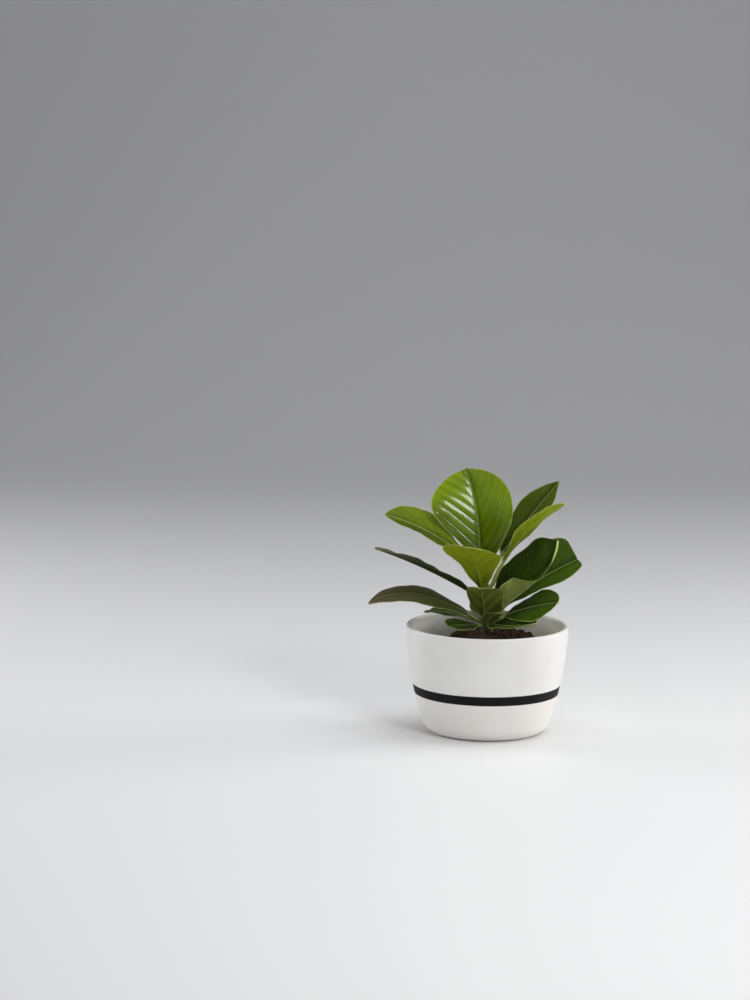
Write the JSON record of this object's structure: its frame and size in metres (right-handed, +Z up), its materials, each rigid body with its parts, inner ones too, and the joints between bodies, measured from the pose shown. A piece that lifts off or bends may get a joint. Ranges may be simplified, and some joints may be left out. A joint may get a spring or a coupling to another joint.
{
  "type": "potted plant",
  "caption": "Young fiddle leaf fig with broad glossy leaves on a short stem, in a white glazed bowl planter with a black band.",
  "frame": {"origin": "centre of the flat underside of the planter", "axes": "+Z up along the planter's axis; -Y towards the viewer, the side the short upright leaf faces; +X to the viewer's right"},
  "size_m": [0.1987, 0.1618, 0.2448],
  "materials": {
    "white_glaze": "satin",
    "potting_mix": "matte",
    "peat": "matte",
    "green_bark": "matte",
    "bud_scale": "satin",
    "dry_scale": "matte",
    "leaf_green": "satin",
    "young_green": "satin"
  },
  "bodies": {
    "root": {"planter": "white_glaze", "potting_soil": "potting_mix", "root_ball": "peat", "stem": "green_bark", "terminal_bud": "bud_scale", "stipule_upper": "dry_scale", "stipule_lower": "dry_scale", "leaf_tall": "young_green", "leaf_upper_left": "leaf_green", "leaf_front_top": "young_green", "leaf_upper_right": "leaf_green", "leaf_right_slim": "young_green", "leaf_right_scoop": "leaf_green", "leaf_right_round": "leaf_green", "leaf_left_edge": "leaf_green", "leaf_left_arch": "leaf_green", "leaf_back_low": "leaf_green", "leaf_right_low": "leaf_green", "leaf_right_floor": "leaf_green", "leaf_left_floor": "leaf_green", "leaf_front_low": "leaf_green", "leaf_front_small": "leaf_green", "leaf_back_right": "leaf_green", "leaf_back_mid": "leaf_green"}
  },
  "joints": []
}
